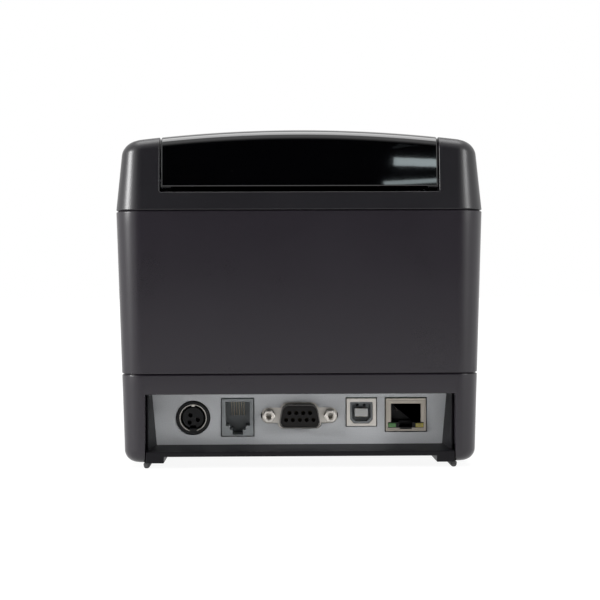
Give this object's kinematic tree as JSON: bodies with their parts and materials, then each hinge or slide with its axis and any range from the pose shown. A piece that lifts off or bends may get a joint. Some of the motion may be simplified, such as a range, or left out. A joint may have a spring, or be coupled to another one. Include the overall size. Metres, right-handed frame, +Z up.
{
  "type": "thermal receipt printer",
  "caption": "Desktop thermal receipt printer with a hinged gloss lid over the paper bin, a platen and paper cutter at the front, and cable sockets in a recess at the rear.",
  "frame": {"origin": "on the table under the middle of the case", "axes": "+Z up, the paper slot faces -Y and the sockets face +Y, +X to the right seen from the front"},
  "size_m": [0.146, 0.188, 0.1341],
  "materials": {
    "case_plastic": "fine texture",
    "satin_plastic": "satin",
    "gloss_plastic": "polished",
    "inner_plastic": "satin",
    "panel_metal": "satin",
    "bright_metal": "plated",
    "steel": "ground",
    "sheet_steel": "galvanised",
    "aluminium": "extruded",
    "ceramic": "glazed",
    "black_nylon": "moulded",
    "grey_nylon": "moulded",
    "white_acetal": "moulded",
    "rubber": "matte",
    "foot_rubber": "matte",
    "board": "solder mask",
    "gold_contacts": "plated",
    "green_lens": "clear",
    "yellow_lens": "clear",
    "smoke_lens": "clear"
  },
  "bodies": {
    "case": {"top_bezel": "case_plastic", "mid_case": "satin_plastic", "base_shell": "satin_plastic", "bottom_chassis": "inner_plastic", "paper_bin": "inner_plastic", "front_cover": "gloss_plastic", "connector_panel": "panel_metal", "power_jack_ring": "bright_metal", "serial_shell": "bright_metal", "jackscrews": "bright_metal", "usb_shell": "bright_metal", "lan_shell": "bright_metal", "hinge_pins": "steel", "case_screws": "steel", "board_screws": "steel", "tear_bar": "steel", "head_springs": "steel", "mech_frame": "sheet_steel", "cutter_bracket": "sheet_steel", "feed_motor": "sheet_steel", "cutter_motor": "sheet_steel", "power_jack_body": "black_nylon", "serial_insert": "black_nylon", "lan_insert": "black_nylon", "power_switch": "black_nylon", "paper_sensor": "black_nylon", "board_parts": "black_nylon", "drawer_jack": "grey_nylon", "usb_insert": "grey_nylon", "rubber_feet": "foot_rubber", "main_board": "board", "control_board": "board", "drawer_contacts": "gold_contacts", "lan_contacts": "gold_contacts", "lan_lamp_green": "green_lens", "lan_lamp_yellow": "yellow_lens", "indicator_lenses": "smoke_lens"},
    "lid": {"lid_shell": "gloss_plastic", "lid_liner": "inner_plastic", "fixed_blade": "steel", "blade_screws": "steel", "platen_bushes": "black_nylon"},
    "platen": {"platen_shaft": "steel", "platen_rubber": "rubber", "platen_gear": "white_acetal"},
    "feed_idler": {"feed_idler": "white_acetal"},
    "feed_pinion": {"feed_pinion": "white_acetal"},
    "cutter_blade": {"moving_blade": "steel", "blade_racks": "white_acetal"},
    "cutter_shaft": {"cutter_shaft": "steel"},
    "cutter_idler": {"cutter_idler": "white_acetal"},
    "cutter_pinion": {"cutter_pinion": "white_acetal"},
    "release_button": {"release_button": "black_nylon"},
    "latch": {"latch_lever": "inner_plastic"},
    "print_head": {"head_sink": "aluminium", "head_strip": "ceramic"},
    "feed_button": {"feed_button": "black_nylon"},
    "power_rocker": {"power_rocker": "black_nylon"}
  },
  "joints": [
    {"name": "lid_hinge", "type": "hinge", "parent": "case", "child": "lid", "pos_m": [0, 0.0899, 0.1128], "axis": [-1, 0, 0], "range_deg": [0, 85]},
    {"name": "platen_spin", "type": "hinge", "parent": "lid", "child": "platen", "pos_m": [0, -0.06, 0.10625], "axis": [1, 0, 0], "continuous": true},
    {"name": "feed_idler_spin", "type": "hinge", "parent": "case", "child": "feed_idler", "pos_m": [-0.0503, -0.05482, 0.08693], "axis": [1, 0, 0], "continuous": true},
    {"name": "feed_pinion_spin", "type": "hinge", "parent": "case", "child": "feed_pinion", "pos_m": [-0.0503, -0.04454, 0.07468], "axis": [1, 0, 0], "continuous": true},
    {"name": "cutter_slide", "type": "slide", "parent": "case", "child": "cutter_blade", "axis": [0, 1, 0], "range_m": [0, 0.008]},
    {"name": "cutter_shaft_spin", "type": "hinge", "parent": "case", "child": "cutter_shaft", "pos_m": [0, -0.08, 0.10735], "axis": [1, 0, 0], "range_deg": [-96, 0]},
    {"name": "cutter_idler_spin", "type": "hinge", "parent": "case", "child": "cutter_idler", "pos_m": [-0.0503, -0.08, 0.08975], "axis": [1, 0, 0], "range_deg": [0, 81]},
    {"name": "cutter_pinion_spin", "type": "hinge", "parent": "case", "child": "cutter_pinion", "pos_m": [-0.0503, -0.08, 0.07535], "axis": [1, 0, 0], "range_deg": [-160, 0]},
    {"name": "release_press", "type": "slide", "parent": "case", "child": "release_button", "axis": [0, 0, -1], "range_m": [0, 0.0035], "stiffness_N_per_m": 500, "springref_m": -0.001},
    {"name": "latch_turn", "type": "hinge", "parent": "case", "child": "latch", "pos_m": [0.0497, -0.062, 0.08225], "axis": [1, 0, 0], "range_deg": [0, 12]},
    {"name": "head_pivot", "type": "hinge", "parent": "case", "child": "print_head", "pos_m": [0, -0.0688, 0.09225], "axis": [1, 0, 0], "range_deg": [0, 2.5], "stiffness_Nm_per_rad": 1, "springref_deg": -2.86, "deforming": ["head_springs"]},
    {"name": "feed_press", "type": "slide", "parent": "case", "child": "feed_button", "axis": [0, 0, -1], "range_m": [0, 0.001], "stiffness_N_per_m": 500, "springref_m": -0.0005},
    {"name": "power_rock", "type": "hinge", "parent": "case", "child": "power_rocker", "pos_m": [-0.06902, -0.032, 0.021], "axis": [0, 0, 1], "range_deg": [-7, 7]}
  ],
  "couplings": [
    {"joint": "feed_idler_spin", "follows": "platen_spin", "ratio": -0.78571},
    {"joint": "feed_pinion_spin", "follows": "platen_spin", "ratio": 1.8333},
    {"joint": "cutter_shaft_spin", "follows": "cutter_slide", "rad_per_m": -208.33},
    {"joint": "cutter_idler_spin", "follows": "cutter_slide", "rad_per_m": 173.61},
    {"joint": "cutter_pinion_spin", "follows": "cutter_slide", "rad_per_m": -347.22},
    {"joint": "latch_turn", "follows": "release_press", "rad_per_m": 58.843}
  ]
}
